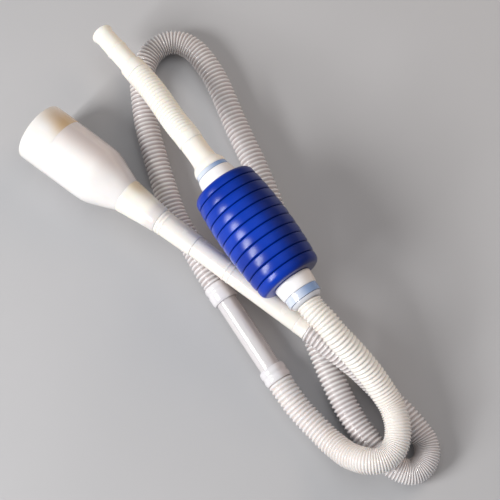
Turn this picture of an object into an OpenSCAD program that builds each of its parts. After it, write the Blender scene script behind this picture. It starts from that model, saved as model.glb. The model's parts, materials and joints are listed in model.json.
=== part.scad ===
// Gravel vacuum siphon for an aquarium: bell and rigid wand, corrugated hose,
// straight joiner, ringed squeeze bulb with a check valve at each end, and a
// short outlet hose with a spout. It lies in loose loops on a flat surface.

/* [Bell] */
// Outside radius of the bell's straight part
bell_r = 26.4; // [22:0.1:32]
// Wall of the bell
bell_wall = 2.2; // [1.5:0.1:3]
// Length of the bell from its mouth to its neck
bell_len = 98; // [90:1:120]
// Length of the band around the mouth
band_len = 25.5; // [10:0.5:40]
// How far the mouth band stands proud of the bell
band_proud = 0.5; // [0.2:0.1:1]

/* [Wand] */
// Distance from the bell's mouth to the end of the wand's hose cuff
wand_len = 291.5; // [270:0.5:360]
// Where the upper and lower tube meet, from the mouth
wand_joint = 173; // [165:1:190]
// Outside radius of the lower tube
wand_r = 9.4; // [9:0.1:11]

/* [Hose] */
// Outside radius of the corrugated hose over its ribs
hose_r = 11; // [10:0.5:12]
// Inside radius of the corrugated hose
hose_bore_r = 8.5; // [7:0.1:9]
// Length of each barb inside a hose
barb_len = 8; // [5:0.5:10]
// Outside radius of the barbs
barb_r = 8; // [6:0.1:8]

/* [Joiner] */
// Length of the joiner over both cuffs
joiner_len = 98.5; // [80:0.5:130]
// Outside radius of the joiner's plain pipe
joiner_r = 9.25; // [8.5:0.05:10]
// Outside radius of the joiner's cuffs
cuff_r = 11.7; // [11:0.1:13]
// Length of the joiner's cuff at the main hose
cuff_a_len = 17; // [12:0.5:20]
// Length of the joiner's cuff at the inlet hose
cuff_b_len = 13.5; // [10:0.5:18]

/* [Bulb] */
// Length of the bulb's body
bulb_len = 98.5; // [90:0.5:120]
// Radius of the bulb at its middle
bulb_mid_r = 30.6; // [27:0.1:34]
// Radius of the bulb at its ends
bulb_end_r = 27; // [23:0.1:28]
// Number of bands along the bulb
bulb_bands = 11; // [8:1:13]
// Depth of the grooves between the bands
bulb_groove = 1.2; // [0.5:0.1:2]
// Wall of the bulb
bulb_wall = 3; // [2:0.1:4]

/* [Valves] */
// Bore of the valve bodies
valve_bore_r = 8; // [7.8:0.1:8.2]
// Radius of the hole in the valve seat
seat_r = 5.2; // [4.5:0.1:5.8]
// Radius of the flap
flap_r = 6.6; // [6:0.1:6.8]
// Radius of the flap's hinge pin
pin_r = 0.6; // [0.5:0.05:0.7]

/* [Spout] */
// Length of the spout with its cuff
spout_len = 55.5; // [40:0.5:80]
// Outside radius of the spout
spout_r = 9; // [8:0.1:9.5]
// Bore radius of the spout
spout_bore_r = 6.8; // [6:0.1:7]

/* [Layout] */
// Heading of the wand on the surface, degrees
wand_az = -37.5; // [-45:0.5:-30]
// Rise of the wand from its bell to its hose end, degrees
wand_el = 1.85; // [1:0.05:3]
// Heading of the joiner, degrees
joiner_az = -57; // [-60:1:-50]
// Heading of the bulb from its outlet end to its inlet end, degrees
bulb_az = -55.1; // [-60:0.1:-50]
// Rise of the bulb from its outlet end to its inlet end, degrees
bulb_el = 0; // [-4:0.1:12]
// Heading of the spout, degrees
spout_az = 128.7; // [120:0.1:140]
// Droop of the spout, degrees
spout_droop = 9.4; // [0:0.1:12]

/* [Hidden] */
$fn = 64;
eps = 0.01;

// Directions and stations of the straight pieces
function dir(az, el) = [cos(el)*cos(az), cos(el)*sin(az), sin(el)];
wand_pos = [-112.8, 64.2, 27];     // centre of the bell's mouth
joiner_pos = [40.9, -69.2, 11.8];  // joiner end that the main hose meets
bulb_pos = [47.2, 1.3, 67.8];      // outlet end of the bulb's body
spout_pos = [-26.4, 110.2, 46];    // where the outlet hose meets the spout cuff
wand_d = dir(wand_az, wand_el);
joiner_d = dir(joiner_az, 0);
bulb_d = dir(bulb_az, bulb_el);
spout_d = dir(spout_az, -spout_droop);
neck_d = 45;      // outlet neck length measured from the bulb's body
lip_d = 22.5;     // inlet collar stack, measured from the bulb's body

wand_end = wand_pos + wand_len*wand_d;
joiner_end = joiner_pos + joiner_len*joiner_d;
inlet_end = bulb_pos + (bulb_len + lip_d)*bulb_d;
outlet_end = bulb_pos - neck_d*bulb_d;

// The main hose from the wand to the joiner: down off the wand, round a tight
// turn, straight back under the wand and the bulb, round the far loop, and
// back under the outlet hose and the wand to the joiner.
main_route = concat(
    [wand_end, wand_end + barb_len*wand_d],
    [[133, -124, 35], [144, -132, 31], [156, -140, 25], [166.5, -148, 18],
     [177, -158, 12.5], [188, -170, 11], [198.5, -181, 11], [208.5, -193.5, 11],
     [214, -202.5, 11], [215, -210, 11], [213, -217.5, 11], [208.5, -223, 11],
     [201.5, -226, 11], [192.5, -224, 11], [182.5, -217.5, 11], [172.5, -207, 11],
     [158.5, -188.5, 11], [143.5, -160.5, 11], [125.5, -115.5, 11],
     [108.5, -60.5, 11], [90.5, -3, 11], [71, 46.5, 11], [55, 83, 11],
     [38.5, 122, 11], [29.5, 137, 11], [22, 146.5, 11], [11, 154.5, 11],
     [0, 156.5, 11], [-10, 153.5, 11], [-19, 145.5, 11], [-24.5, 133.5, 11],
     [-26.5, 118, 11], [-25, 100.5, 11], [-21, 76, 11], [-14.5, 51.5, 11],
     [-3.5, 15.5, 11], [8.5, -14.5, 11], [20, -33.5, 11]],
    [joiner_pos - barb_len*joiner_d, joiner_pos]);

// The inlet hose from the joiner to the bulb: round a turn laid on the main
// hose's turn, then up over the end of the wand to the bulb.
inlet_route = concat(
    [joiner_end, joiner_end + barb_len*joiner_d],
    [[113.5, -178, 11], [127, -192.5, 12], [135, -201, 14], [142.5, -208, 17.5],
     [149, -213.5, 22], [155.5, -217, 27], [162.5, -219.5, 32], [172, -219.5, 34],
     [180, -216, 34], [186, -209, 34], [188.5, -200.5, 34], [188.5, -189.5, 34],
     [184.5, -176, 34], [178, -165.5, 37], [168, -152.5, 44], [158, -142, 51.5],
     [147.5, -132, 58.5], [137.5, -122.5, 64], [128, -111.5, 67]],
    [inlet_end + barb_len*bulb_d, inlet_end]);

// The short outlet hose from the bulb's neck to the spout, over the far loop
outlet_route = concat(
    [outlet_end, outlet_end - barb_len*bulb_d],
    [[11.5, 52.5, 64.5], [-7.5, 83.5, 54]],
    [spout_pos - barb_len*spout_d, spout_pos]);

module at(pos, az, el) translate(pos) rotate([0, 90 - el, az]) children();
module on_wand() at(wand_pos, wand_az, wand_el) children();
module on_joiner() at(joiner_pos, joiner_az, 0) children();
module on_bulb() at(bulb_pos, bulb_az, bulb_el) children();
module on_spout() at(spout_pos, spout_az, -spout_droop) children();
// Local z runs outwards from each end of the bulb's body
module on_inlet() on_bulb() translate([0, 0, bulb_len]) children();
module on_outlet() on_bulb() mirror([0, 0, 1]) children();

module ring(r_out, r_in, z0, z1)
    translate([0, 0, z0]) difference() {
        cylinder(r = r_out, h = z1 - z0);
        translate([0, 0, -1]) cylinder(r = r_in, h = z1 - z0 + 2);
    }

// A hollow tube swept along a route, with a ring at each of its points
function unit(v) = v/norm(v);
function tangent(p, i) = let(n = len(p))
    i == 0 ? unit(p[1] - p[0]) : i == n - 1 ? unit(p[n - 1] - p[n - 2])
    : unit(unit(p[i + 1] - p[i]) + unit(p[i] - p[i - 1]));
function hoop(p, i, r, m) = let(t = tangent(p, i), s = unit(cross([0, 0, 1], t)), u = cross(t, s))
    [for (j = [0:m - 1]) p[i] + r*(cos((j + 0.5)*360/m)*s + sin((j + 0.5)*360/m)*u)];
module swept_tube(p, r_out, r_in, m = 12) {
    n = len(p);
    outer = [for (i = [0:n - 1]) each hoop(p, i, r_out, m)];
    inner = [for (i = [0:n - 1]) each hoop(p, i, r_in, m)];
    k = n*m;
    side = [for (i = [0:n - 2], j = [0:m - 1]) let(a = i*m + j, b = i*m + (j + 1)%m)
        each [[a, a + m, b + m], [a, b + m, b]]];
    bore = [for (i = [0:n - 2], j = [0:m - 1]) let(a = k + i*m + j, b = k + i*m + (j + 1)%m)
        each [[a, b + m, a + m], [a, b, b + m]]];
    first = [for (j = [0:m - 1]) let(a = j, b = (j + 1)%m) each [[a, b, k + b], [a, k + b, k + a]]];
    last = [for (j = [0:m - 1]) let(a = k - m + j, b = k - m + (j + 1)%m)
        each [[a, k + b, b], [a, k + a, k + b]]];
    polyhedron(points = concat(outer, inner), faces = concat(side, bore, first, last), convexity = 10);
}

// ---- bell ----
bell_in = bell_r - bell_wall;
module bell_tube()
    color([0.90, 0.88, 0.84, 0.6]) on_wand() rotate_extrude()
        polygon([[bell_in, 0], [bell_r - 0.8, 0], [bell_r - 0.8, band_len + 0.1], [bell_r, band_len + 0.7],
                 [bell_r + 0.2, 60], [bell_r - 0.3, bell_len - 30], [bell_r - 1.9, bell_len - 24],
                 [bell_r - 4, bell_len - 18], [bell_r - 6.2, bell_len - 12], [bell_r - 8.6, bell_len - 6],
                 [bell_r - 10.8, bell_len], [12.3, bell_len], [12.3, bell_len - 15],
                 [bell_r - 8, bell_len - 17], [bell_r - 4.4, bell_len - 25], [bell_r - 2.7, bell_len - 31],
                 [bell_in, bell_len - 36]]);

module mouth_band()
    color([0.86, 0.82, 0.76, 0.7]) on_wand() rotate_extrude()
        polygon([[bell_r - 0.75, 0], [bell_r + band_proud - 0.3, 0], [bell_r + band_proud, 1],
                 [bell_r + band_proud, band_len - 1], [bell_r + band_proud - 0.3, band_len],
                 [bell_r - 0.75, band_len]]);

// Its spigot plugs into the bell's neck; the upper tube plugs into it
module neck_collar()
    color([0.93, 0.90, 0.83]) on_wand() rotate_extrude()
        polygon([[8, bell_len - 14], [11.9, bell_len - 14], [11.9, bell_len - 9.2], [10.4, bell_len - 9.2],
                 [10.4, bell_len - 6.8], [11.9, bell_len - 6.8], [11.9, bell_len + 0.3],
                 [14.4, bell_len + 0.3], [14.6, bell_len + 1], [13.5, bell_len + 15], [12.6, bell_len + 21],
                 [11.9, bell_len + 33], [11.4, bell_len + 37.5], [9.95, bell_len + 37.5], [9.95, bell_len + 14],
                 [8, bell_len + 14]]);

module bell_seal()
    color([0.15, 0.15, 0.16]) on_wand() translate([0, 0, bell_len - 8]) rotate_extrude()
        translate([11.35, 0]) circle(r = 0.9, $fn = 24);

// ---- wand ----
module wand_upper_tube()
    color([0.95, 0.93, 0.92]) on_wand() difference() {
        union() {
            translate([0, 0, bell_len + 14.1]) cylinder(r = 9.9, h = 25);
            translate([0, 0, bell_len + 37.8]) cylinder(r1 = 10.6, r2 = 9.9, h = wand_joint - bell_len - 37.8);
            for (z = [bell_len + 39.2, bell_len + 42.7]) translate([0, 0, z - 1]) cylinder(r = 11.2, h = 2);
        }
        translate([0, 0, bell_len]) cylinder(r = 7, h = 100);
        translate([0, 0, wand_joint - 13]) cylinder(r = 8.05, h = 20);
    }

module wand_lower_tube()
    color([0.95, 0.93, 0.92]) on_wand() difference() {
        union() {
            translate([0, 0, wand_joint - 12.8]) cylinder(r = 8, h = 20);
            translate([0, 0, wand_joint + 0.1]) cylinder(r = wand_r, h = wand_len - 10.8 - wand_joint);
            for (z = [wand_joint + 33.2, wand_joint + 38.3]) translate([0, 0, z - 0.9]) cylinder(r = wand_r + 0.8, h = 1.8);
        }
        translate([0, 0, wand_joint - 20]) cylinder(r = 6.6, h = wand_len);
    }

module wand_hose_cuff()
    color([0.93, 0.91, 0.90]) on_wand() difference() {
        union() {
            translate([0, 0, wand_len - 25]) cylinder(r = 6.55, h = 20);
            translate([0, 0, wand_len - 10.6]) cylinder(r = wand_r + 0.8, h = 2);
            translate([0, 0, wand_len - 9]) cylinder(r = wand_r + 0.3, h = 9);
            translate([0, 0, wand_len - 1]) cylinder(r = barb_r, h = barb_len + 1);
        }
        translate([0, 0, wand_len - 30]) cylinder(r = 5.4, h = 60);
    }

// ---- hoses ----
module main_hose() color([0.88, 0.87, 0.88, 0.8]) swept_tube(main_route, hose_r, hose_bore_r);
module inlet_hose() color([0.88, 0.87, 0.88, 0.8]) swept_tube(inlet_route, hose_r, hose_bore_r);
module outlet_hose() color([0.93, 0.90, 0.86, 0.9]) swept_tube(outlet_route, hose_r, hose_bore_r);

// ---- joiner ----
module cuff_shape(len) rotate_extrude()
    polygon([[8.1, 0], [cuff_r - 0.5, 0], [cuff_r, 0.7], [cuff_r, 4.6], [cuff_r - 0.6, 5.2], [cuff_r - 0.6, 6.8],
             [cuff_r, 7.4], [cuff_r, len - 0.7], [cuff_r - 0.5, len], [joiner_r + 0.05, len],
             [joiner_r + 0.05, 6], [8.1, 6]]);
module joiner_cuff_a() color([0.92, 0.91, 0.90]) on_joiner() cuff_shape(cuff_a_len);
module joiner_cuff_b() color([0.92, 0.91, 0.90]) on_joiner() translate([0, 0, joiner_len]) mirror([0, 0, 1]) cuff_shape(cuff_b_len);
module joiner_tube()
    color([0.94, 0.93, 0.93]) on_joiner() difference() {
        union() {
            translate([0, 0, 6.1]) cylinder(r = joiner_r, h = joiner_len - 12.2);
            translate([0, 0, -barb_len]) cylinder(r = barb_r, h = joiner_len + 2*barb_len);
        }
        translate([0, 0, -barb_len - 1]) cylinder(r = 6.3, h = joiner_len + 2*barb_len + 2);
    }

// ---- bulb ----
function bulb_env(z) = let(q = abs(2*z/bulb_len - 1)) bulb_mid_r - (bulb_mid_r - bulb_end_r)*pow(q, 2.2);
// One band: its crown, then down into the groove and up again
band_shape = [[0.06, 0.75], [0.14, 0.28], [0.3, 0.04], [0.5, 0], [0.7, 0.04], [0.86, 0.28], [0.94, 0.75]];
bulb_pitch = bulb_len/bulb_bands;
bulb_skin = [for (i = [0:bulb_bands - 1], s = band_shape)
    let(z = (i + s[0])*bulb_pitch,
        edge = (i == 0 && s[0] < 0.3) || (i == bulb_bands - 1 && s[0] > 0.7) ? 2.2 : 1)
    [bulb_env(z) - s[1]*bulb_groove*edge, z]];
module bulb()
    color([0.05, 0.16, 0.68]) on_bulb() rotate_extrude()
        polygon(concat(
            [[10.5, -8], [13, -8], [13, 0], [bulb_end_r - 5, 0]],
            bulb_skin,
            [[bulb_end_r - 5, bulb_len], [13, bulb_len], [13, bulb_len + 8], [10.5, bulb_len + 8],
             [10.5, bulb_len - bulb_wall], [bulb_end_r - 6.5, bulb_len - bulb_wall]],
            [for (i = [7:-1:1]) let(z = bulb_wall + 2 + (bulb_len - 2*bulb_wall - 4)*i/8) [bulb_env(z) - bulb_wall, z]],
            [[bulb_end_r - 6.5, bulb_wall], [10.5, bulb_wall]]));

// ---- check valves ----
// Parts of one end of the bulb; z runs outwards from the bulb's body
module collar_shape(r0, r1) rotate_extrude()
    polygon([[13.3, 0.3], [r0 - 0.6, 0.3], [r0, 0.9], [r1, 11.4], [r1 - 0.6, 12], [10.5, 12], [10.5, 10.3], [13.3, 10.3]]);
module gasket_shape() ring(12.9, 10.6, 8.1, 10.2);
hinge_y = 6;
hinge_z = 2.9;
// Valve parts; here z runs with the flow and starts at the seat's upstream face
module seat_parts() {
    ring(valve_bore_r + 0.5, seat_r, 0, 1.5);
    for (s = [-1, 1]) intersection() {
        difference() {
            union() {
                translate([s*3.35, hinge_y, hinge_z]) rotate([0, 90, 0]) cylinder(r = 1.35, h = 1.3, center = true, $fn = 32);
                translate([s*3.35 - 0.65, hinge_y - 1.35, 1.4]) cube([1.3, 4, hinge_z - 1.4]);
            }
            translate([0, hinge_y, hinge_z]) rotate([0, 90, 0]) cylinder(r = pin_r + 0.02, h = 20, center = true, $fn = 32);
        }
        cylinder(r = valve_bore_r + 0.5, h = 8);
    }
}
module flap_shape() difference() {
    union() {
        intersection() {
            translate([0, 0, 1.56]) cylinder(r = flap_r, h = 1.2);
            translate([-10, -10, 0]) cube([20, 14.3, 5]);
        }
        translate([-2.5, 2, 1.56]) cube([5, hinge_y - 2, 1.2]);
        translate([0, hinge_y, hinge_z]) rotate([0, 90, 0]) cylinder(r = 1.3, h = 5, center = true, $fn = 32);
    }
    translate([0, hinge_y, hinge_z]) rotate([0, 90, 0]) cylinder(r = pin_r + 0.05, h = 20, center = true, $fn = 32);
}
module pin_shape() translate([0, hinge_y, hinge_z]) rotate([0, 90, 0]) cylinder(r = pin_r, h = 8, center = true, $fn = 32);
// The hinges are at the top of each bore, with their axes level
module inlet_flow() on_inlet() translate([0, 0, 8]) mirror([0, 0, 1]) rotate([0, 0, 90]) children();
module outlet_flow() on_outlet() translate([0, 0, -3]) rotate([0, 0, 90]) children();

module inlet_collar() color([0.93, 0.92, 0.92]) on_inlet() collar_shape(16.4, 15.6);
module outlet_collar() color([0.93, 0.92, 0.92]) on_outlet() collar_shape(17, 15.5);
module inlet_gasket() color([0.12, 0.12, 0.13]) on_inlet() gasket_shape();
module outlet_gasket() color([0.12, 0.12, 0.13]) on_outlet() gasket_shape();
module inlet_valve_body()
    color([0.72, 0.83, 0.93]) union() {
        on_inlet() ring(10.2, valve_bore_r, -7, 12.5);
        on_inlet() ring(14.9, valve_bore_r, 12.2, 19);
        inlet_flow() seat_parts();
    }
module outlet_valve_body()
    color([0.72, 0.83, 0.93]) union() {
        on_outlet() ring(10.2, valve_bore_r, -7, 12.5);
        on_outlet() translate([0, 0, 12.2]) difference() {
            cylinder(r1 = 14.9, r2 = 14.4, h = 3.4);
            translate([0, 0, -1]) cylinder(r = valve_bore_r, h = 10);
        }
        outlet_flow() seat_parts();
    }
module inlet_flap() color([0.55, 0.6, 0.65]) inlet_flow() flap_shape();
module outlet_flap() color([0.55, 0.6, 0.65]) outlet_flow() flap_shape();
module inlet_flap_pin() color([0.75, 0.76, 0.78]) inlet_flow() pin_shape();
module outlet_flap_pin() color([0.75, 0.76, 0.78]) outlet_flow() pin_shape();

// The lip and barb that hold the inlet hose, plugged into the valve body
module inlet_hose_barb()
    color([0.93, 0.92, 0.92]) on_inlet() difference() {
        union() {
            translate([0, 0, 19.1]) cylinder(r1 = 14, r2 = 12.2, h = lip_d - 19.1);
            translate([0, 0, 16.5]) cylinder(r = valve_bore_r - 0.05, h = 5);
            translate([0, 0, 20]) cylinder(r = barb_r, h = lip_d - 20 + barb_len);
        }
        translate([0, 0, 10]) cylinder(r = 6.2, h = 40);
    }
module outlet_nipple()
    color([0.94, 0.92, 0.88]) on_outlet() difference() {
        union() {
            translate([0, 0, 15.7]) cylinder(r1 = 14.4, r2 = 12.2, h = 7.3);
            translate([0, 0, 13.5]) cylinder(r = valve_bore_r - 0.05, h = 5);
            translate([0, 0, 20]) cylinder(r = 10.3, h = neck_d - 20);
            translate([0, 0, neck_d - 2]) cylinder(r = barb_r, h = barb_len + 2);
        }
        translate([0, 0, 10]) cylinder(r = 6.2, h = 60);
    }

// ---- spout ----
module spout_cuff()
    color([0.93, 0.90, 0.85]) on_spout() difference() {
        union() {
            translate([0, 0, -barb_len]) cylinder(r = barb_r, h = barb_len + 2);
            cylinder(r1 = 10.8, r2 = 10.4, h = 11.5);
        }
        translate([0, 0, -20]) cylinder(r = 6.3, h = 40);
        translate([0, 0, 3]) cylinder(r = spout_r + 0.05, h = 20);
    }
module outlet_spout()
    color([0.94, 0.91, 0.86]) on_spout() difference() {
        union() {
            translate([0, 0, 3.1]) cylinder(r = spout_r, h = spout_len - 3.1);
            translate([0, 0, spout_len - 4]) cylinder(r1 = spout_r, r2 = spout_r + 0.7, h = 4);
            translate([0, 0, 31]) cylinder(r = spout_r + 0.4, h = 1.4);
        }
        translate([0, 0, -1]) cylinder(r = spout_bore_r, h = spout_len + 2);
    }

bell_tube();
mouth_band();
neck_collar();
bell_seal();
wand_upper_tube();
wand_lower_tube();
wand_hose_cuff();
main_hose();
joiner_cuff_a();
joiner_tube();
joiner_cuff_b();
inlet_hose();
inlet_hose_barb();
inlet_collar();
inlet_gasket();
inlet_valve_body();
inlet_flap();
inlet_flap_pin();
bulb();
outlet_collar();
outlet_gasket();
outlet_valve_body();
outlet_flap();
outlet_flap_pin();
outlet_nipple();
outlet_hose();
spout_cuff();
outlet_spout();
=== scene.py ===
"""Looks of the gravel vacuum siphon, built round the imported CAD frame."""
import json
import math

import bpy
import numpy as np
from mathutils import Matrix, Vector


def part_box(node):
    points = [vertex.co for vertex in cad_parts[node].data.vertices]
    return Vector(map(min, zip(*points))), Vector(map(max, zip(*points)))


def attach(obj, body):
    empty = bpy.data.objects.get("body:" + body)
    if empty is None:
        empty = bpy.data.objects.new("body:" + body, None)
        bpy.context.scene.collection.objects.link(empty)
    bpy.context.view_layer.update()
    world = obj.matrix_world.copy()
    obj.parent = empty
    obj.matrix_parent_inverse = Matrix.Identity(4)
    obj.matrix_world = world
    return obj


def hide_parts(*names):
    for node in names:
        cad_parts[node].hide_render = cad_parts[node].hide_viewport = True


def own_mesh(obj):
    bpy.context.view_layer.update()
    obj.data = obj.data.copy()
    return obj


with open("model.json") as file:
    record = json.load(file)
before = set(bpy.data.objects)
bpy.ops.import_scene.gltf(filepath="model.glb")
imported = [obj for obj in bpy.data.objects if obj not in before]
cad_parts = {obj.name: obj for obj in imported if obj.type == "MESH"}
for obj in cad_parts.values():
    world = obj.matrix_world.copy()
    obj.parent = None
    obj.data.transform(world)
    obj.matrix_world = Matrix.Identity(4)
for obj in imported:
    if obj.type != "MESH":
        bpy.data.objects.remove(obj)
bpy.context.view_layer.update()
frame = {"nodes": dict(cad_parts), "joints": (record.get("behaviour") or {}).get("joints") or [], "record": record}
rec = frame["record"]
MM = 0.001

# ------------------------------------------------------------------ stations
mounts = {m["name"]: m for m in rec["mounts"]}
joints = {j["name"]: j for j in frame["joints"]}


def unit(v):
    v = np.asarray(v, float)
    return v / np.linalg.norm(v)


def centre(node):
    lo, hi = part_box(node)
    return (np.array(lo, float) + np.array(hi, float)) / 2


UP = np.array([0.0, 0.0, 1.0])
bell_m, spout_m = mounts["bell_mouth"], mounts["spout_bore"]
wand_d = -unit(bell_m["axis"])
wand_o = np.array(bell_m["pos_m"], float) - 31 * MM * wand_d
spout_d = unit(spout_m["axis"])
spout_o = np.array(spout_m["pos_m"], float) - 29.3 * MM * spout_d
bulb_d = unit(joints["bulb_squeeze"]["axis"])
bulb_c = centre("bulb")
JOIN_L = 98.5
join_d = unit((centre("joiner_cuff_b") - centre("joiner_cuff_a")) * [1, 1, 0])
join_o = centre("joiner_tube") - JOIN_L / 2 * MM * join_d

WAND_L, BULB_L, LIP, NECK, BARB, SPOUT_L = 291.5, 98.5, 22.5, 45.0, 8.0, 55.5
bulb_o = bulb_c - BULB_L / 2 * MM * bulb_d
wand_e = wand_o + WAND_L * MM * wand_d
join_e = join_o + JOIN_L * MM * join_d
inlet_e = bulb_o + (BULB_L + LIP) * MM * bulb_d
outlet_e = bulb_o - NECK * MM * bulb_d

# ------------------------------------------------------------------ camera
ELEV = 74.0
cam_data = bpy.data.cameras.new("camera")
cam = bpy.data.objects.new("camera", cam_data)
bpy.context.collection.objects.link(cam)
cam.location = (0.0700, -0.32177, 1.00010)
cam.rotation_euler = (math.radians(90 - ELEV), 0, 0)
cam_data.lens, cam_data.sensor_width = 86.4, 36
cam_data.clip_start, cam_data.clip_end = 0.05, 20
bpy.context.scene.camera = cam


# ------------------------------------------------------------------ mesh tools
def new_mesh(name, verts, faces, smooth_angle=40, attrs=None):
    me = bpy.data.meshes.new(name)
    me.from_pydata([tuple(v) for v in verts], [], [tuple(f) for f in faces])
    me.validate()
    me.polygons.foreach_set("use_smooth", [True] * len(me.polygons))
    if smooth_angle:
        me.set_sharp_from_angle(angle=math.radians(smooth_angle))
    for key, values in (attrs or {}).items():
        a = me.attributes.new(key, "FLOAT", "POINT")
        a.data.foreach_set("value", np.asarray(values, np.float32))
    me.update()
    ob = bpy.data.objects.new(name, me)
    bpy.context.collection.objects.link(ob)
    return ob


def axes(d):
    z = unit(d)
    y = unit(np.cross(UP, z))
    return np.cross(y, z), y, z


def rounded(prof, radius=0.4, n=4, keep=()):
    """A closed outline with each corner eased by up to the given radius."""
    p = [np.array(q[:2], float) for q in prof]
    out = []
    for i, q in enumerate(p):
        r = prof[i][2] if len(prof[i]) > 2 else radius
        a, b = p[i - 1] - q, p[(i + 1) % len(p)] - q
        la, lb = np.linalg.norm(a), np.linalg.norm(b)
        bend = 1 + np.dot(a, b) / (la * lb)
        if r <= 0 or bend < 0.004:
            out.append(q)
            continue
        c = min(r, 0.45 * la, 0.45 * lb)
        s, e = q + a / la * c, q + b / lb * c
        for k in range(n + 1):
            t = k / n
            out.append((1 - t) ** 2 * s + 2 * t * (1 - t) * q + t * t * e)
    return out


def lathe(name, prof, origin, d, segs=96, attrs=None, smooth_angle=40, wobble=None, painted_shade=None):
    """A closed outline of (radius, height) in mm, turned round a line."""
    X, Y, Z = axes(d)
    prof = np.array([q[:2] for q in prof], float)
    n = len(prof)
    a = np.linspace(0, 2 * math.pi, segs, endpoint=False)
    ring = np.cos(a)[:, None] * X + np.sin(a)[:, None] * Y
    r = prof[:, 0][:, None] * np.ones(segs)
    if wobble is not None:
        r = wobble(r, prof[:, 1][:, None], a[None])
    v = origin + MM * (r[:, :, None] * ring[None] + prof[:, 1][:, None, None] * Z)
    faces = []
    for i in range(n):
        j = (i + 1) % n
        for k in range(segs):
            m = (k + 1) % segs
            faces.append((i * segs + k, i * segs + m, j * segs + m, j * segs + k))
    at = {k: np.repeat(np.asarray(w, float), segs) for k, w in (attrs or {}).items()}
    # painted shade: the attribute follows the side each ring point faces, towards (0.61, 0.79, 0), away from the key
    # light, and the height
    if painted_shade is not None:
        at["painted_shade"] = np.array([[painted_shade(float(np.dot(u, [0.61, 0.79, 0.0])), float(z)) for u in ring] for z in prof[:, 1]]).ravel()
    ob = new_mesh(name, v.reshape(-1, 3), faces, smooth_angle, at)
    fix_normals(ob)
    return ob


def fix_normals(ob):
    """Turns the faces outwards, by the sign of the enclosed volume."""
    me = ob.data
    me.calc_loop_triangles()
    v = np.empty(len(me.vertices) * 3)
    me.vertices.foreach_get("co", v)
    v = v.reshape(-1, 3)
    t = np.empty(len(me.loop_triangles) * 3, np.int32)
    me.loop_triangles.foreach_get("vertices", t)
    t = t.reshape(-1, 3)
    if np.einsum("ij,ij->i", v[t[:, 0]], np.cross(v[t[:, 1]], v[t[:, 2]])).sum() < 0:
        me.flip_normals()
        me.update()


def spline(points, step):
    """A smooth line through the points: a natural cubic spline on chord length, resampled evenly."""
    p = np.array(points, float)
    t = np.r_[0, np.cumsum(np.linalg.norm(np.diff(p, axis=0), axis=1))]
    n = len(p)
    h = np.diff(t)
    A = np.zeros((n, n))
    B = np.zeros((n, 3))
    A[0, 0] = A[-1, -1] = 1
    for i in range(1, n - 1):
        A[i, i - 1], A[i, i], A[i, i + 1] = h[i - 1], 2 * (h[i - 1] + h[i]), h[i]
        B[i] = 6 * ((p[i + 1] - p[i]) / h[i] - (p[i] - p[i - 1]) / h[i - 1])
    M = np.linalg.solve(A, B)

    def at(u):
        i = np.clip(np.searchsorted(t, u, side="right") - 1, 0, n - 2)
        a, b = (t[i + 1] - u)[:, None], (u - t[i])[:, None]
        hi = h[i][:, None]
        return (M[i] * a**3 + M[i + 1] * b**3) / (6 * hi) + (p[i] / hi - M[i] * hi / 6) * a + (p[i + 1] / hi - M[i + 1] * hi / 6) * b

    u = np.linspace(0, t[-1], 6000)
    q = at(u)
    s = np.r_[0, np.cumsum(np.linalg.norm(np.diff(q, axis=0), axis=1))]
    k = max(2, int(round(s[-1] / step)))
    uu = np.interp(np.linspace(0, s[-1], k + 1), s, u)
    return at(uu), s[-1]


def frames(q):
    """Rings' side and up directions, carried along the line without twist."""
    t = np.gradient(q, axis=0)
    t /= np.linalg.norm(t, axis=1)[:, None]
    u = UP - np.dot(UP, t[0]) * t[0]
    u /= np.linalg.norm(u)
    U = np.zeros_like(q)
    for i in range(len(q)):
        u = u - np.dot(u, t[i]) * t[i]
        u /= np.linalg.norm(u)
        U[i] = u
    return t, np.cross(U, t), U


def rib(x, crest, root, sharp=0.8):
    """Outside radius over one rib: x runs 0 to 1 from root to root, with the crest at a half."""
    return root + (crest - root) * (0.5 - 0.5 * np.cos(2 * math.pi * x)) ** sharp


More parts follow.
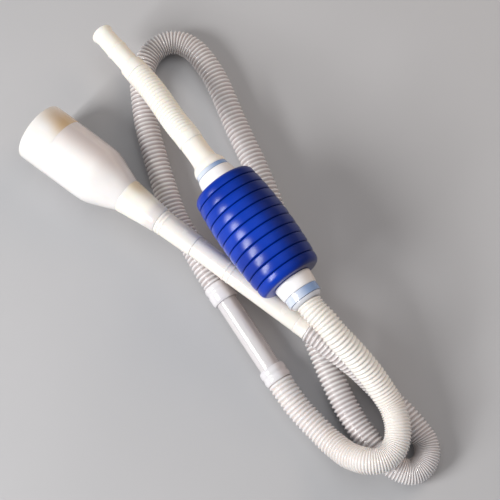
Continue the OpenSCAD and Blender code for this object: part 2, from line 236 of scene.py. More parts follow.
def hose(name, points, pitch, crest, root, wall=1.0, segs=44, per_rib=10, plain=(0, 0), sharp=0.8, close=0.6, end=0.45):
    """A corrugated tube with an outside and an inside, closed by its end rims. Its ribs keep their moulded
    pitch on the outside of a wide bend, close up on the inside, and close up all round in a tight loop, where
    they are also shallower. plain is the smooth cuff length at each end, mm."""
    q, length = spline(points, 0.25 * MM)
    L = length / MM
    s = np.linspace(0, L, len(q))
    t = np.gradient(q, axis=0)
    t /= np.linalg.norm(t, axis=1)[:, None]
    bend = np.linalg.norm(np.gradient(t, axis=0), axis=1) / (L / (len(q) - 1))
    k = np.ones(41) / 41
    bend = np.convolve(np.pad(bend, 20, mode="edge"), k, mode="valid")
    k = np.hanning(241) / np.hanning(241).sum()
    tight = np.clip((bend - 0.021) / 0.009, 0, 1) * (q[:, 1] < 0)
    tight = np.convolve(np.pad(tight, 120, mode="edge"), k, mode="valid")
    rate = np.where((s > plain[0]) & (s < L - plain[1]), (1 + crest * bend) * (1 + close * tight) / pitch, 1 / pitch)
    phase = np.r_[0, np.cumsum((rate[1:] + rate[:-1]) / 2 * np.diff(s))]
    p0, p1 = np.interp([plain[0], L - plain[1]], s, phase)
    ribs = max(1, round(p1 - p0))
    phase = (phase - p0) / (p1 - p0) * ribs
    first, last = math.floor(phase[0] * per_rib + 0.01), math.ceil(phase[-1] * per_rib - 0.01)
    x = np.arange(first, last + 1) / per_rib
    x[0], x[-1] = phase[0], phase[-1]
    at = np.interp(x, phase, s)
    q = np.stack([np.interp(at, s, q[:, i]) for i in range(3)], -1)
    inside = (x >= 0) & (x <= ribs)
    tight = np.interp(x, phase, tight)
    smooth = root + end * (crest - root)
    prof = np.where(inside, rib(x % 1.0, crest, root, sharp), smooth)
    prof = np.where(inside, prof + (crest - prof) * 0.45 * tight, prof)
    lead = np.clip(np.minimum(at, L - at) / 0.9, 0, 1)
    prof = root - 0.4 + (prof - root + 0.4) * lead ** 0.5
    # crest is 0 in the rib roots and 1 on the crests; the materials paint shade into the roots from it, with less of it
    # in tight loops
    depth = np.where(inside, (0.5 - 0.5 * np.cos(2 * math.pi * x)), 0.6)
    depth = depth + (0.6 - depth) * 0.4 * tight
    tt, side, up = frames(q)
    a = np.linspace(0, 2 * math.pi, segs, endpoint=False)
    ring = np.cos(a)[None, :, None] * side[:, None] + np.sin(a)[None, :, None] * up[:, None]
    outer = q[:, None] + MM * prof[:, None, None] * ring
    keep = np.unique(np.r_[np.arange(0, len(q), per_rib // 2), len(q) - 1])
    pin = np.full(len(keep), root - wall)
    inner = q[keep][:, None] + MM * pin[:, None, None] * ring[keep]
    no, ni = len(q), len(keep)
    faces = []
    for base, count, flip in ((0, no, False), (no * segs, ni, True)):
        i, k = np.meshgrid(np.arange(count - 1), np.arange(segs), indexing="ij")
        m = (k + 1) % segs
        f = np.stack([base + i * segs + k, base + i * segs + m, base + (i + 1) * segs + m, base + (i + 1) * segs + k], -1).reshape(-1, 4)
        faces.append(f[:, ::-1] if flip else f)
    k = np.arange(segs)
    m = (k + 1) % segs
    b = no * segs
    faces.append(np.stack([k, b + k, b + m, m], -1))
    o, c = (no - 1) * segs, b + (ni - 1) * segs
    faces.append(np.stack([o + k, o + m, c + m, c + k], -1))
    atts = {"crest": np.r_[np.repeat(depth, segs), np.repeat(depth[keep], segs)],
            "along": np.r_[np.repeat(at / L, segs), np.repeat(at[keep] / L, segs)]}
    ob = new_mesh(name, np.r_[outer.reshape(-1, 3), inner.reshape(-1, 3)], np.concatenate(faces).tolist(), None, atts)
    fix_normals(ob)
    print(name, "ribs", ribs, "length", round(L, 1), "faces", len(ob.data.polygons))
    return ob, q, L


# ------------------------------------------------------------------ materials
def material(name, base, rough=0.3, spread=0.06, scale=60.0, bump=0.0, bump_scale=400.0, tint=None,
             tint_scale=18.0, coat=0.0, coat_rough=0.1, trans=0.0, ior=1.45, sss=0.0, sss_radius=(1, 1, 1), sss_scale=0.004,
             rough_spread=0.08, attr=None, attr_dark=0.6, spec=0.5, groove_shade=None, reach=0.75, blends=()):
    """A moulded plastic: mottled colour, uneven gloss and a fine surface, all from nodes, with painted shade in the
    grooves and on the side away from the key light where asked.
    """
    mat = bpy.data.materials.new(name)
    mat.use_nodes = True
    nt = mat.node_tree
    nt.nodes.clear()
    N = nt.nodes.new
    out = N("ShaderNodeOutputMaterial")
    b = N("ShaderNodeBsdfPrincipled")
    nt.links.new(b.outputs[0], out.inputs[0])
    b.inputs["IOR"].default_value = ior
    b.inputs["Specular IOR Level"].default_value = spec
    b.inputs["Transmission Weight"].default_value = trans
    b.inputs["Coat Weight"].default_value = coat
    b.inputs["Coat Roughness"].default_value = coat_rough
    if sss > 0:
        b.inputs["Subsurface Weight"].default_value = sss
        b.inputs["Subsurface Radius"].default_value = sss_radius
        b.inputs["Subsurface Scale"].default_value = sss_scale
    co = N("ShaderNodeTexCoord")

    def noise(sc, detail=3.0, rgh=0.55):
        n = N("ShaderNodeTexNoise")
        n.inputs["Scale"].default_value = sc
        n.inputs["Detail"].default_value = detail
        n.inputs["Roughness"].default_value = rgh
        nt.links.new(co.outputs["Object"], n.inputs["Vector"])
        return n.outputs["Fac"]

    def ramp(fac, c0, c1, lo=0.3, hi=0.7):
        r = N("ShaderNodeValToRGB")
        r.color_ramp.elements[0].position, r.color_ramp.elements[1].position = lo, hi
        r.color_ramp.elements[0].color = (*c0, 1)
        r.color_ramp.elements[1].color = (*c1, 1)
        nt.links.new(fac, r.inputs[0])
        return r.outputs[0]

    def mix(fac, a, c, blend="MIX"):
        m = N("ShaderNodeMix")
        m.data_type, m.blend_type = "RGBA", blend
        if isinstance(fac, float):
            m.inputs[0].default_value = fac
        else:
            nt.links.new(fac, m.inputs[0])
        for sock, val in ((m.inputs[6], a), (m.inputs[7], c)):
            if isinstance(val, tuple):
                sock.default_value = (*val, 1)
            else:
                nt.links.new(val, sock)
        return m.outputs[2]

    base = np.array(base, float)
    lo = tuple(np.clip(base * (1 - spread), 0, 1))
    hi = tuple(np.clip(base * (1 + spread), 0, 1))
    col = ramp(noise(scale), lo, hi)
    if tint is not None:
        col = mix(ramp_fac(nt, noise(tint_scale, 2.0)), col, tuple(tint))
    # painted shade: the colour darkens where the attribute is low, in the roots of ribs and grooves where shade falls
    if attr:
        at = N("ShaderNodeAttribute")
        at.attribute_type, at.attribute_name = "GEOMETRY", attr
        dark = tuple(base * attr_dark) if groove_shade is None else tuple(groove_shade)
        r = N("ShaderNodeMapRange")
        r.inputs["From Min"].default_value, r.inputs["From Max"].default_value = 0.0, reach
        r.inputs["To Min"].default_value, r.inputs["To Max"].default_value = 1.0, 0.0
        nt.links.new(at.outputs["Fac"], r.inputs["Value"])
        col = mix(r.outputs[0], col, dark)
    # painted shade: each blend shifts the colour on the side away from the key light, by the normal (facing) or by a
    # side attribute, with a noisy edge
    for key, colour, lo_v, hi_v in blends:
        if key == "facing":
            g = N("ShaderNodeNewGeometry")
            at = N("ShaderNodeVectorMath")
            at.operation = "DOT_PRODUCT"
            nt.links.new(g.outputs["Normal"], at.inputs[0])
            at.inputs[1].default_value = (0.82, 0.572, 0.0)
            side_v = at.outputs["Value"]
        else:
            at = N("ShaderNodeAttribute")
            at.attribute_type, at.attribute_name = "GEOMETRY", key
            side_v = at.outputs["Fac"]
        wob = N("ShaderNodeMath")
        wob.operation = "MULTIPLY_ADD"
        nt.links.new(noise(30.0, 2.0), wob.inputs[0])
        wob.inputs[1].default_value = 0.3
        nt.links.new(side_v, wob.inputs[2])
        r = N("ShaderNodeMapRange")
        r.interpolation_type = "SMOOTHSTEP"
        r.inputs["From Min"].default_value, r.inputs["From Max"].default_value = lo_v + 0.15, hi_v + 0.15
        nt.links.new(wob.outputs[0], r.inputs["Value"])
        col = mix(r.outputs[0], col, tuple(colour))
    nt.links.new(col, b.inputs["Base Color"])
    rr = N("ShaderNodeMapRange")
    rr.inputs["To Min"].default_value = max(0.02, rough - rough_spread)
    rr.inputs["To Max"].default_value = rough + rough_spread
    nt.links.new(noise(scale * 1.7, 4.0), rr.inputs["Value"])
    nt.links.new(rr.outputs[0], b.inputs["Roughness"])
    if bump > 0:
        bm = N("ShaderNodeBump")
        bm.inputs["Strength"].default_value = bump
        bm.inputs["Distance"].default_value = 0.0004
        nt.links.new(noise(bump_scale, 3.0), bm.inputs["Height"])
        nt.links.new(bm.outputs[0], b.inputs["Normal"])
    return mat


def ramp_fac(nt, fac):
    r = nt.nodes.new("ShaderNodeMapRange")
    r.inputs["From Min"].default_value, r.inputs["From Max"].default_value = 0.42, 0.68
    nt.links.new(fac, r.inputs["Value"])
    return r.outputs[0]


# painted shade: the hose plastic darkens towards the rib roots, where shade falls between the ribs
M_HOSE = material("hose_plastic", (0.90, 0.87, 0.86), rough=0.18, spread=0.05, scale=45, tint=(0.83, 0.79, 0.80), tint_scale=14,
                  trans=0.1, ior=1.45, coat=1.0, coat_rough=0.08, sss=0.2, sss_radius=(1.0, 0.8, 0.7), sss_scale=0.0015,
                  attr="crest", groove_shade=(0.46, 0.40, 0.39), reach=0.85, bump=0.12, bump_scale=500)
# painted light: a lighter copy of the hose plastic for the inlet hose, with paler painted shade in its rib roots, and
# whiter still towards the bulb end by the along blend
M_HOSE_LIT = material("hose_plastic_lit", (0.88, 0.84, 0.82), rough=0.24, spread=0.04, scale=45, tint=(0.85, 0.81, 0.81), tint_scale=14,
                     trans=0.08, ior=1.45, coat=0.45, coat_rough=0.15, sss=0.3, sss_radius=(1.0, 0.8, 0.65), sss_scale=0.0018,
                     attr="crest", groove_shade=(0.73, 0.66, 0.62), reach=0.65, bump=0.12, bump_scale=500, blends=(("along", (0.93, 0.885, 0.825), 0.1, 1.0),))
# painted shade: darker rib roots, and peach on the side away from the key light
M_OUT_HOSE = material("outlet_hose_plastic", (0.92, 0.885, 0.82), rough=0.32, spread=0.03, scale=50, tint=(0.92, 0.86, 0.78), tint_scale=22,
                      coat=0.25, coat_rough=0.25, sss=0.35, sss_radius=(1.0, 0.7, 0.45), sss_scale=0.003, attr="crest", groove_shade=(0.88, 0.82, 0.73), reach=0.5,
                      bump=0.12, bump_scale=500, blends=(("facing", (0.90, 0.79, 0.64), 0.2, 1.2),))
# painted shade: peach-tan on the side away from the key light
M_CREAM = material("cream_plastic", (0.92, 0.88, 0.815), rough=0.33, spread=0.03, scale=35, tint=(0.91, 0.86, 0.78), tint_scale=26,
                   coat=0.25, coat_rough=0.25, sss=0.35, sss_radius=(1.0, 0.65, 0.4), sss_scale=0.003, bump=0.15, bump_scale=650,
                   blends=(("facing", (0.87, 0.75, 0.59), 0.1, 1.1),))
# painted shade: tan on the side away from the key light, near the bell; painted shadow: greyer towards the wand end of
# the collar
M_NECK = material("neck_plastic", (0.92, 0.875, 0.80), rough=0.3, spread=0.03, scale=35, tint=(0.90, 0.85, 0.77), tint_scale=26,
                  coat=0.3, coat_rough=0.2, sss=0.35, sss_radius=(1.0, 0.65, 0.4), sss_scale=0.003, bump=0.15, bump_scale=650,
                  blends=(("painted_shade", (0.76, 0.63, 0.46), 0.0, 0.85), ("neck_shadow", (0.74, 0.70, 0.68), 0.3, 1.0)))
# painted shade: warmer and darker on the side away from the key light
M_WAND = material("wand_plastic", (0.94, 0.885, 0.81), rough=0.26, spread=0.03, scale=40, tint=(0.91, 0.85, 0.80), tint_scale=20,
                  trans=0.05, coat=0.4, coat_rough=0.15, sss=0.3, sss_radius=(1.0, 0.75, 0.6), sss_scale=0.003, bump=0.1, bump_scale=600,
                  blends=(("facing", (0.84, 0.74, 0.64), 0.1, 1.1),))
# painted shade: darker beige on the side away from the key light
M_JOINER = material("joiner_plastic", (0.82, 0.79, 0.79), rough=0.16, spread=0.04, scale=40, tint=(0.80, 0.76, 0.78), tint_scale=30,
                    trans=0.22, coat=1.0, coat_rough=0.12, bump=0.12, bump_scale=300, blends=(("painted_shade", (0.64, 0.56, 0.54), 0.0, 0.85),))
# painted shade: darker on the side away from the key light
M_FITTING = material("fitting_plastic", (0.91, 0.90, 0.90), rough=0.3, spread=0.03, scale=55, tint=(0.86, 0.87, 0.91), tint_scale=40,
                     coat=0.3, coat_rough=0.2, sss=0.3, sss_radius=(0.9, 0.9, 1.0), sss_scale=0.002, bump=0.12, bump_scale=700,
                     blends=(("facing", (0.72, 0.65, 0.60), 0.0, 1.1),))
M_LIP = material("lip_plastic", (0.84, 0.85, 0.90), rough=0.22, spread=0.04, scale=55, tint=(0.80, 0.80, 0.84), tint_scale=40,
                 trans=0.2, coat=0.4, coat_rough=0.15, bump=0.12, bump_scale=700)
# painted shade: darker on the side away from the key light
M_CUFF = material("cuff_plastic", (0.86, 0.84, 0.85), rough=0.18, spread=0.04, scale=55, tint=(0.78, 0.75, 0.79), tint_scale=60,
                  trans=0.12, coat=0.6, coat_rough=0.1, bump=0.14, bump_scale=500, blends=(("painted_shade", (0.70, 0.62, 0.60), 0.0, 0.8),))
# painted shade: deeper blue on the side away from the key light
M_VALVE = material("valve_plastic", (0.76, 0.82, 0.93), rough=0.18, spread=0.06, scale=70, tint=(0.64, 0.72, 0.88), tint_scale=45,
                   trans=0.15, coat=0.6, coat_rough=0.08, bump=0.1, bump_scale=500, blends=(("facing", (0.27, 0.40, 0.66), -0.55, 0.45),))
# painted shade: darker in the grooves between the bands, and darker blue on the side away from the key light
M_BULB = material("bulb_plastic", (0.0006, 0.040, 0.44), rough=0.30, spread=0.12, scale=38, tint=(0.0004, 0.026, 0.32), tint_scale=24,
                  coat=0.18, coat_rough=0.22, attr="crest", attr_dark=0.25, bump=0.16, bump_scale=420, rough_spread=0.07, spec=0.3,
                  blends=(("painted_shade", (0.0003, 0.012, 0.14), -0.15, 0.85),))
# painted shade: grey-brown on the side away from the key light
M_BELL = material("bell_plastic", (0.92, 0.89, 0.87), rough=0.2, spread=0.03, scale=26, tint=(0.84, 0.80, 0.82), tint_scale=13,
                  trans=0.06, coat=0.5, coat_rough=0.1, ior=1.45, sss=0.25, sss_radius=(1.0, 0.8, 0.65), sss_scale=0.003, bump=0.1, bump_scale=300,
                  blends=(("painted_shade", (0.69, 0.62, 0.60), -0.1, 0.8),))
# painted shade: brown on the side away from the key light
M_BAND = material("band_plastic", (0.92, 0.89, 0.87), rough=0.22, spread=0.03, scale=26, tint=(0.90, 0.85, 0.78), tint_scale=21,
                  trans=0.05, coat=0.5, coat_rough=0.12, ior=1.45, sss=0.25, sss_radius=(1.0, 0.8, 0.65), sss_scale=0.003, bump=0.1, bump_scale=300,
                  blends=(("painted_shade", (0.62, 0.44, 0.26), 0.15, 0.95),))
M_RUBBER = material("seal_rubber", (0.03, 0.03, 0.033), rough=0.6, spread=0.2, scale=200, bump=0.3, bump_scale=1500)
M_FLAP = material("flap_rubber", (0.50, 0.56, 0.62), rough=0.5, spread=0.08, scale=200, bump=0.2, bump_scale=1500)
M_STEEL = material("pin_steel", (0.62, 0.62, 0.64), rough=0.3, spread=0.05, scale=800, bump=0.1, bump_scale=3000)
for n in M_STEEL.node_tree.nodes:
    if n.type == "BSDF_PRINCIPLED":
        n.inputs["Metallic"].default_value = 1.0


def finish_piece(ob, mat, body, slot, *nodes):
    ob.data.materials.clear()
    ob.data.materials.append(mat)
    if nodes:
        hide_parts(*nodes)
    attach(ob, body)
    return ob


# ------------------------------------------------------------------ hoses
def mm(points):
    return [np.array(p, float) * MM for p in points]


main_route = [wand_e, wand_e + BARB * MM * wand_d] + mm(
    [[133, -124, 35], [144, -132, 31], [156, -140, 25], [166.5, -148, 18],
     [177, -158, 12.5], [188, -170, 11], [198.5, -181, 11], [208.5, -193.5, 11],
     [214, -202.5, 11], [215, -210, 11], [213, -217.5, 11], [208.5, -223, 11],
     [201.5, -226, 11], [192.5, -224, 11], [182.5, -217.5, 11], [172.5, -207, 11],
     [158.5, -188.5, 11], [143.5, -160.5, 11], [125.5, -115.5, 11],
     [108.5, -60.5, 11], [90.5, -3, 11], [71, 46.5, 11], [55, 83, 11],
     [38.5, 122, 11], [29.5, 137, 11], [22, 146.5, 11], [11, 154.5, 11],
     [0, 156.5, 11], [-10, 153.5, 11], [-19, 145.5, 11], [-24.5, 133.5, 11],
     [-26.5, 118, 11], [-25, 100.5, 11], [-21, 76, 11], [-14.5, 51.5, 11],
     [-3.5, 15.5, 11], [8.5, -14.5, 11], [20, -33.5, 11]]) + [join_o - BARB * MM * join_d, join_o]
inlet_route = [join_e, join_e + BARB * MM * join_d] + mm(
    [[113.5, -178, 11], [127, -192.5, 12], [135, -201, 14], [142.5, -208, 17.5],
     [149, -213.5, 22], [155.5, -217, 27], [162.5, -219.5, 32], [172, -219.5, 34],
     [180, -216, 34], [186, -209, 34], [188.5, -200.5, 34], [188.5, -189.5, 34],
     [184.5, -176, 34], [178, -165.5, 37], [168, -152.5, 44], [158, -142, 51.5],
     [147.5, -132, 58.5], [137.5, -122.5, 64], [128, -111.5, 67]]) + [inlet_e + BARB * MM * bulb_d, inlet_e]
outlet_route = [outlet_e, outlet_e - BARB * MM * bulb_d] + mm(
    [[11.5, 52.5, 64.5], [-7.5, 83.5, 54]]) + [spout_o - BARB * MM * spout_d, spout_o]

main, main_q, main_l = hose("main_hose_tube", main_route, 4.05, 11.0, 9.45, segs=38, per_rib=8, sharp=1.05)
finish_piece(main, M_HOSE, "root", "hose_plastic", "main_hose")
inlet, inlet_q, inlet_l = hose("inlet_hose_tube", inlet_route, 4.05, 11.0, 9.6)
finish_piece(inlet, M_HOSE_LIT, "root", "hose_plastic", "inlet_hose")
outlet, outlet_q, outlet_l = hose("outlet_hose_tube", outlet_route, 4.0, 11.0, 10.3, plain=(7, 5), end=0.95)
finish_piece(outlet, M_OUT_HOSE, "outlet_end", "outlet_hose_plastic", "outlet_hose")
print("hose lengths, mm:", round(main_l, 1), round(inlet_l, 1), round(outlet_l, 1))

# ------------------------------------------------------------------ bell and wand
def ease(x):
    x = min(max(x, 0.0), 1.0)
    return x * x * (3 - 2 * x)


outer = [(25.7, 0.0, .2), (25.7, 25.45, .02), (26.75, 25.45, .02), (26.6, 60), (26.45, 64), (26.1, 68), (25.4, 71.5), (24.5, 74.5), (23.5, 77.4), (22.4, 80.2),
         (21.3, 83), (20.2, 86), (19.05, 89), (17.8, 92), (16.6, 95), (15.42, 98.24, .02)]
inner = [(12.3, 98.2, .2), (12.3, 84.6), (14.4, 84.2), (18.2, 81.5), (20.4, 77), (22.0, 73), (23.2, 69), (23.9, 65), (24.2, 61), (24.2, 0, .5)]
# painted shade on the bell's side away from the key light, strongest towards its mouth, and a deeper brown painted
# shade on the same side of its mouth band
bell = lathe("bell_shell", rounded(outer + inner, 0.9), wand_o, wand_d, 160, smooth_angle=50, painted_shade=lambda c, z: ease((c + 0.3) / 1.0) * (1 - 0.5 * ease((z - 62) / 30)))
finish_piece(bell, M_BELL, "bell", "bell_plastic", "bell_tube")
# painted shade: brown on the band's side away from the key light, lighter at its open edge
band = lathe("mouth_band_ring", rounded([(25.72, 0, .1), (26.3, 0, .5), (26.85, 1.2, .8), (26.85, 21.6, 1.5), (26.77, 25.42, .05), (25.72, 25.42, .05)], 0.4), wand_o, wand_d, 160,
             painted_shade=lambda c, z: ease((c + 0.45) / 1.05) * (0.5 + 0.5 * ease((z - 2) / 12)))
finish_piece(band, M_BAND, "bell", "band_plastic", "mouth_band")
# painted shade on the collar's side away from the key light, fading away from the bell
neck = lathe("neck_collar_shell", rounded(
    [(8, 84, .3), (11.9, 84, .5), (11.9, 88.8, .2), (10.4, 88.8, .2), (10.4, 91.2, .2), (11.9, 91.2, .2), (11.9, 98.26, .1), (15.42, 98.26, .02),
     (15.5, 100.2, 1.5), (14.9, 103.5, 3), (13.9, 113, 4), (12.9, 121, 4), (12.1, 129, 4), (11.75, 133, 1.5), (11.15, 135.4, .5), (9.95, 135.45, .1), (9.95, 112, .2), (8, 112, .2)], 0.5),
    wand_o, wand_d, 128, painted_shade=lambda c, z: ease((c + 0.1) / 0.9) * (1 - 0.8 * ease((z - 100) / 22)))
# painted shadow: grey over the last part of the neck collar, from 118 mm along the wand
neck_shadow = np.array([ease((float(np.dot(v.co, wand_d)) - float(np.dot(wand_o, wand_d)) - 0.118) / 0.010) for v in neck.data.vertices])
neck.data.attributes.new("neck_shadow", "FLOAT", "POINT").data.foreach_set("value", neck_shadow.astype(np.float32))
finish_piece(neck, M_NECK, "root", "cream_plastic", "neck_collar")


def beads(base, spots, r, width, z0, z1):
    """An outline's outer edge with rounded beads on it."""
    out = [(base(z0), z0)]
    for s in spots:
        w = width / 2
        out.append((base(s - w * 1.25), s - w * 1.25, 0))
        for k in range(9):
            x = -1 + k / 4
            out.append((base(s) + r * math.sqrt(max(0, 1 - x * x)), s + w * x, 0))
        out.append((base(s + w * 1.25), s + w * 1.25, 0))
    out.append((base(z1), z1))
    return out


def taper(z):
    return float(np.interp(z, [134, 143, 173], [10.9, 10.7, 9.95]))


up_outer = [(9.9, 112.1), (9.9, 135.5, .1)] + beads(taper, [137.3, 140.8], 0.42, 2.2, 135.55, 172.95)
upper = lathe("wand_upper_shell", rounded(up_outer + [(8.05, 172.95, .1), (8.05, 160, .2), (7, 160, .2), (7, 112.1, .3)], 0.45), wand_o, wand_d, 128)
finish_piece(upper, M_WAND, "root", "wand_plastic", "wand_upper_tube")
low_outer = [(8.0, 160.2, .3), (8.0, 173.0, .1)] + [(9.5, 173.0, .2)] + beads(lambda z: 9.45, [207.5, 212.5], 0.4, 2.2, 175, 280.75)
lower = lathe("wand_lower_shell", rounded(low_outer + [(6.6, 280.75, .1), (6.6, 160.2, .3)], 0.4), wand_o, wand_d, 128)
finish_piece(lower, M_WAND, "root", "wand_plastic", "wand_lower_tube")
wcuff = lathe("wand_cuff_shell", rounded(
    [(5.4, 266.5, .2), (6.55, 266.5, .3), (6.55, 280.8, .1), (9.5, 280.8, .2), (9.8, 281.8, .6), (9.65, 283.2, .6), (9.6, 290.6, .4), (9.8, 291.45, .2),
     (8, 291.5, .1), (8, 299.2, .4), (5.4, 299.5, .3)], 0.3), wand_o, wand_d, 128)
finish_piece(wcuff, M_WAND, "root", "fitting_plastic", "wand_hose_cuff")

# ------------------------------------------------------------------ joiner
# painted shade on the side away from the key light, for the joiner's cuffs and pipe
def side_shade(c, z):
    return ease((c + 0.15) / 0.9)


def cuff(name, length, o, d):
    prof = [(8.1, 0, .2), (11.0, 0, .8), (11.5, 1.4, 1.0), (11.75, 4.0, 1.5), (11.2, 5.6, 1.2), (11.15, 6.8, 1.2), (11.75, 8.6, 1.5), (11.65, length - 2.2, 1.2),
            (10.9, length, 0.9), (9.35, length, .2), (9.35, 6, .2), (8.1, 6, .2)]
    return lathe(name, rounded(prof, 0.4), o, d, 128, painted_shade=side_shade)


ca = cuff("joiner_cuff_a_shell", 17.0, join_o, join_d)
finish_piece(ca, M_CUFF, "root", "fitting_plastic", "joiner_cuff_a")
cb = cuff("joiner_cuff_b_shell", 13.5, join_e, -join_d)
finish_piece(cb, M_CUFF, "root", "fitting_plastic", "joiner_cuff_b")
jt = lathe("joiner_pipe", rounded([(6.3, -8, .3), (7.6, -8, .4), (8, -7, .4), (8, 6.1, .1), (9.25, 6.1, .4), (9.25, JOIN_L - 6.1, .4), (8, JOIN_L - 6.1, .1), (8, JOIN_L + 7, .4),
                                   (7.6, JOIN_L + 8, .4), (6.3, JOIN_L + 8, .3)], 0.4), join_o, join_d, 128, painted_shade=side_shade)
finish_piece(jt, M_JOINER, "root", "wand_plastic", "joiner_tube")

# ------------------------------------------------------------------ bulb
def env(z):
    return 30.6 - 3.6 * abs(2 * z / BULB_L - 1) ** 2.2


BANDS, GROOVE = 11, 1.3
pitch = BULB_L / BANDS
prof, crest = [(10.5, -8), (13, -8), (13, 0), (20, 0)], [1, 1, 1, 1]
for i in range(BANDS):
    xs = np.r_[np.linspace(0.0, 0.14, 8), np.linspace(0.2, 0.8, 9), np.linspace(0.86, 1.0, 8)]
    for x in xs:
        z = (i + x) * pitch
        w = abs(2 * x - 1)
        first, last = (i == 0 and x < 0.5), (i == BANDS - 1 and x > 0.5)
        if first or last:
            # the rounded shoulder at each end
            e = min(1.0, (x if first else 1 - x) * pitch / 4.4)
            r = env(z) - 4.4 * (1 - math.sqrt(max(0, 1 - (1 - e) ** 2))) * 0.9
            c = 1.0
        else:
            # c falls to 0 in each groove, where the bulb material paints shade
            dip = max(0.0, (w - 0.76) / 0.24)
            c = 1 - dip ** 1.7
            r = env(z) - GROOVE * (dip ** 1.7) - 0.34 * w**2
        if x == 1.0 and not last:
            continue
        prof.append((r, min(max(z, 0.02), BULB_L - 0.02)))
        crest.append(c)
prof += [(20, BULB_L), (13, BULB_L), (13, BULB_L + 8), (10.5, BULB_L + 8), (10.5, BULB_L - 3)]
crest += [1] * 5
for z in np.linspace(BULB_L - 5, 5, 24):
    prof.append((env(z) - 3.0, z))
    crest.append(1)
prof += [(10.5, 3)]
crest += [1]
# painted shade: crest darkens the grooves, and the side term darkens the side away from the key light
bulb = lathe("bulb_body", prof, bulb_o, bulb_d, 192, attrs={"crest": crest}, smooth_angle=60, painted_shade=lambda c, z: ease((c + 0.25) / 1.1))
finish_piece(bulb, M_BULB, "root", "bulb_plastic", "bulb")

# ------------------------------------------------------------------ end fittings
in_o = bulb_o + BULB_L * MM * bulb_d


def nut(name, r0, r1, o, d, body, node):
    prof = [(13.3, 0.3, .2), (r0 - 0.3, 0.3, .6), (r0, 1.4, .6), (r0 - 0.12, 3.2, .8), ((r0 + r1) / 2, 7, 2), (r1, 10.6, .8), (r1 - 0.5, 12, .6), (10.5, 12, .2), (10.5, 10.3, .2), (13.3, 10.3, .2)]
    ob = lathe(name, rounded(prof, 0.5), o, d, 128)
    return finish_piece(ob, M_FITTING, body, "fitting_plastic", node)


nut("inlet_collar_shell", 16.7, 15.7, in_o, bulb_d, "root", "inlet_collar")
nut("outlet_collar_shell", 17.0, 15.5, bulb_o, -bulb_d, "outlet_end", "outlet_collar")
barb_in = lathe("inlet_barb_shell", rounded([(6.2, 16.5, .2), (7.95, 16.5, .2), (7.95, 19.05, .1), (13.4, 19.1, .4), (13.5, 19.9, .5), (12.8, 21.3, 1), (11.8, 22.4, .5), (8, 22.5, .1), (8, 29.8, .5),
                                             (7.4, 30.5, .3), (6.2, 30.5, .2)], 0.4), in_o, bulb_d, 128)
finish_piece(barb_in, M_LIP, "root", "fitting_plastic", "inlet_hose_barb")
nip = lathe("outlet_nipple_shell", rounded([(6.2, 13.5, .2), (7.95, 13.5, .2), (7.95, 15.65, .1), (14.2, 15.7, .4), (14.7, 16.6, .7), (14.2, 19.2, 1.2), (12.9, 21.8, 1.5), (11.4, 23.6, 1.5), (10.6, 26.5, 1.5),
                                            (10.35, 34, 2), (10.5, 44.6, .3), (8, 44.9, .1), (8, 52.3, .5), (7.4, 53, .3), (6.2, 53, .2)], 0.4), bulb_o, -bulb_d, 128)
finish_piece(nip, M_CREAM, "outlet_end", "cream_plastic", "outlet_nipple")

# CAD pieces whose shape is right keep it and take a real material
for node, mat in (("bell_seal", M_RUBBER), ("inlet_gasket", M_RUBBER), ("outlet_gasket", M_RUBBER), ("inlet_valve_body", M_VALVE), ("outlet_valve_body", M_VALVE),
                  ("inlet_flap", M_FLAP), ("outlet_flap", M_FLAP), ("inlet_flap_pin", M_STEEL), ("outlet_flap_pin", M_STEEL)):
    ob = frame["nodes"][node]
    if not ob.material_slots:
        ob.data.materials.append(mat)
    for s in ob.material_slots:
        s.material = mat

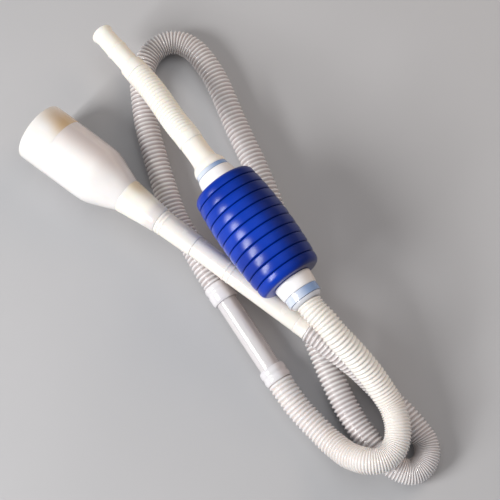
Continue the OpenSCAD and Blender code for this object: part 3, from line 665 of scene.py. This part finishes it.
# ------------------------------------------------------------------ spout
sc = lathe("spout_cuff_shell", rounded([(6.3, -8, .2), (7.4, -8, .3), (8, -7.3, .4), (8, -0.1, .1), (10.7, 0, .5), (10.9, 1, .6), (10.5, 10.2, .8), (10.0, 11.5, .5), (9.05, 11.5, .1), (9.05, 3, .2), (6.3, 3, .2)], 0.4),
           spout_o, spout_d, 128)
finish_piece(sc, M_CREAM, "outlet_end", "cream_plastic", "spout_cuff")
so = [(9.0, 3.1, .3)] + beads(lambda z: 9.0 - 0.3 * max(0.0, (z - 34) / 14), [32.0], 0.5, 2.4, 5, 46.0)[1:] + [(8.75, 49.6, 2), (9.25, 52.2, 1.5), (9.85, 54.3, .6), (9.5, 55.5, .6)]
spout = lathe("outlet_spout_shell", rounded(so + [(8.2, 55.3, .8), (7.0, 53.6, .8), (6.8, 52.0, .5), (6.8, 3.1, .3)], 0.5), spout_o, spout_d, 128)
finish_piece(spout, M_CREAM, "outlet_end", "cream_plastic", "outlet_spout")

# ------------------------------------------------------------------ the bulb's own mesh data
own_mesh(bulb)

# ------------------------------------------------------------------ floor and light
def plane(name, size, z, mat):
    me = bpy.data.meshes.new(name)
    s = size / 2
    me.from_pydata([(-s, -s, z), (s, -s, z), (s, s, z), (-s, s, z)], [], [(0, 1, 2, 3)])
    ob = bpy.data.objects.new(name, me)
    bpy.context.collection.objects.link(ob)
    ob.data.materials.append(mat)
    return ob


M_FLOOR = material("floor_paint", (0.46, 0.46, 0.47), rough=0.75, spread=0.015, scale=6, spec=0.2)
plane("floor", 8.0, -0.0004, M_FLOOR)


def area(name, loc, target, size, power, colour=(1, 1, 1), glossy=True):
    la = bpy.data.lights.new(name, "AREA")
    la.shape, la.size, la.energy, la.color = "DISK", size, power, colour
    ob = bpy.data.objects.new(name, la)
    bpy.context.collection.objects.link(ob)
    ob.location = loc
    d = np.array(target, float) - np.array(loc, float)
    from mathutils import Vector
    ob.rotation_euler = Vector(d).to_track_quat("-Z", "Y").to_euler()
    ob.visible_glossy = glossy
    return ob


area("key", (-1.20, -0.62, 1.02), (0.05, 0, 0), 0.75, 25.5, (1.0, 0.985, 0.97))
area("glint", (-1.30, -1.10, 0.86), (0.06, 0, 0.04), 0.26, 7, (1.0, 1.0, 1.0))
area("warm", (1.15, 0.95, 0.95), (0.05, 0, 0), 1.1, 9, (1.0, 0.80, 0.64), False)
area("top", (0.15, 0.3, 1.9), (0.05, 0, 0), 1.6, 7, (1, 1, 1), False)
world = bpy.data.worlds.new("studio")
bpy.context.scene.world = world
world.use_nodes = True
world.node_tree.nodes["Background"].inputs[0].default_value = (0.80, 0.84, 0.90, 1)
world.node_tree.nodes["Background"].inputs[1].default_value = 0.27
bpy.context.scene.view_settings.view_transform = "Standard"
